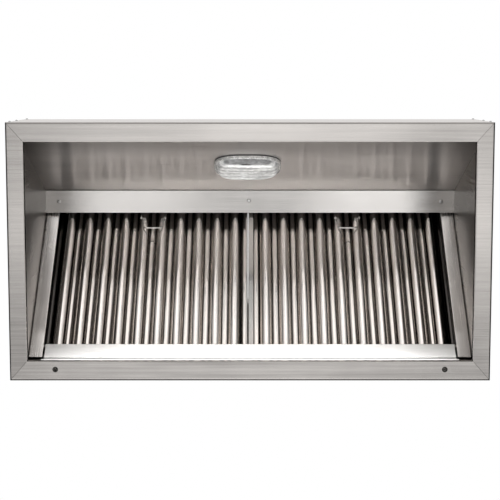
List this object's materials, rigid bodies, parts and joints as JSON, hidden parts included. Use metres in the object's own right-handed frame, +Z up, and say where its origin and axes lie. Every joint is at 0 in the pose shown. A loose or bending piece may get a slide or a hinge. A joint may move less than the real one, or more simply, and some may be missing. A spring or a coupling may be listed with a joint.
{
  "type": "commercial canopy hood",
  "caption": "Wall canopy exhaust hood: open stainless box with a mitred rim, sloped lit inner front, lift-out baffle filters over a grease gutter, and a round duct collar.",
  "frame": {"origin": "middle of the bounding box at the underside of the rim", "axes": "+X along the hood's width, to the right as the cook faces the wall; -Y towards the cook; +Y towards the wall; +Z up, out of the duct collar"},
  "size_m": [1.067, 0.5746, 0.761],
  "materials": {
    "shell_steel": "brushed",
    "filter_steel": "satin",
    "baffle_steel": "bright rolled",
    "wire_steel": "drawn wire",
    "fastener_steel": "bright",
    "galvanised_steel": "galvanised",
    "lamp_ring_metal": "satin",
    "lamp_pan_metal": "cast",
    "lamp_glass": "prismatic, clear",
    "bulb_glass": "frosted",
    "lamp_ceramic": "glazed",
    "lamp_seal": "matte",
    "gland_plastic": "moulded"
  },
  "bodies": {
    "hood": {"collar_flange": "shell_steel", "collar_rivets": "fastener_steel", "conduit_fittings": "galvanised_steel", "duct_collar": "shell_steel", "fascia_corner_angles": "shell_steel", "fascia_rivets": "fastener_steel", "filter_rest_angle": "shell_steel", "front_fascia": "shell_steel", "front_liner": "shell_steel", "front_rim": "shell_steel", "front_slope_panel": "shell_steel", "grease_trough": "shell_steel", "hanger_bolts": "fastener_steel", "hanger_brackets": "galvanised_steel", "header_rail": "shell_steel", "header_rivet_nuts": "fastener_steel", "header_screws": "fastener_steel", "junction_box": "galvanised_steel", "junction_box_cover": "galvanised_steel", "junction_box_screws": "fastener_steel", "lamp_bulb": "bulb_glass", "lamp_conduit": "galvanised_steel", "lamp_gasket": "lamp_seal", "lamp_lens": "lamp_glass", "lamp_pan": "lamp_pan_metal", "lamp_ring": "lamp_ring_metal", "lamp_screws": "fastener_steel", "lamp_socket": "lamp_ceramic", "lamp_socket_bracket": "galvanised_steel", "left_filter_guide": "shell_steel", "left_rim": "shell_steel", "left_side_panel": "shell_steel", "plenum_front_panel": "shell_steel", "rear_panel": "shell_steel", "rear_rim": "shell_steel", "right_filter_guide": "shell_steel", "right_rim": "shell_steel", "right_side_panel": "shell_steel", "supply_gland": "gland_plastic", "top_panel": "shell_steel", "trough_end_caps": "shell_steel", "trough_wall_strip": "shell_steel"},
    "left_filter": {"left_filter_bottom_channel": "filter_steel", "left_filter_front_baffles": "baffle_steel", "left_filter_handle_lugs": "filter_steel", "left_filter_left_channel": "filter_steel", "left_filter_rear_baffles": "baffle_steel", "left_filter_right_channel": "filter_steel", "left_filter_rivets": "fastener_steel", "left_filter_top_channel": "filter_steel"},
    "right_filter": {"right_filter_bottom_channel": "filter_steel", "right_filter_front_baffles": "baffle_steel", "right_filter_handle_lugs": "filter_steel", "right_filter_left_channel": "filter_steel", "right_filter_rear_baffles": "baffle_steel", "right_filter_right_channel": "filter_steel", "right_filter_rivets": "fastener_steel", "right_filter_top_channel": "filter_steel"},
    "left_handle": {"left_filter_handle": "wire_steel"},
    "right_handle": {"right_filter_handle": "wire_steel"}
  },
  "joints": [
    {"name": "left_filter_lift", "type": "slide", "parent": "hood", "child": "left_filter", "axis": [0, -0.676, 0.7369], "range_m": [0, 0.011]},
    {"name": "left_handle_swing", "type": "hinge", "parent": "left_filter", "child": "left_handle", "pos_m": [-0.25225, -0.02099, 0.57014], "axis": [-1, 0, 0], "range_deg": [0, 70]},
    {"name": "right_filter_lift", "type": "slide", "parent": "hood", "child": "right_filter", "axis": [0, -0.676, 0.7369], "range_m": [0, 0.011]},
    {"name": "right_handle_swing", "type": "hinge", "parent": "right_filter", "child": "right_handle", "pos_m": [0.25355, -0.02099, 0.57014], "axis": [-1, 0, 0], "range_deg": [0, 70]}
  ]
}
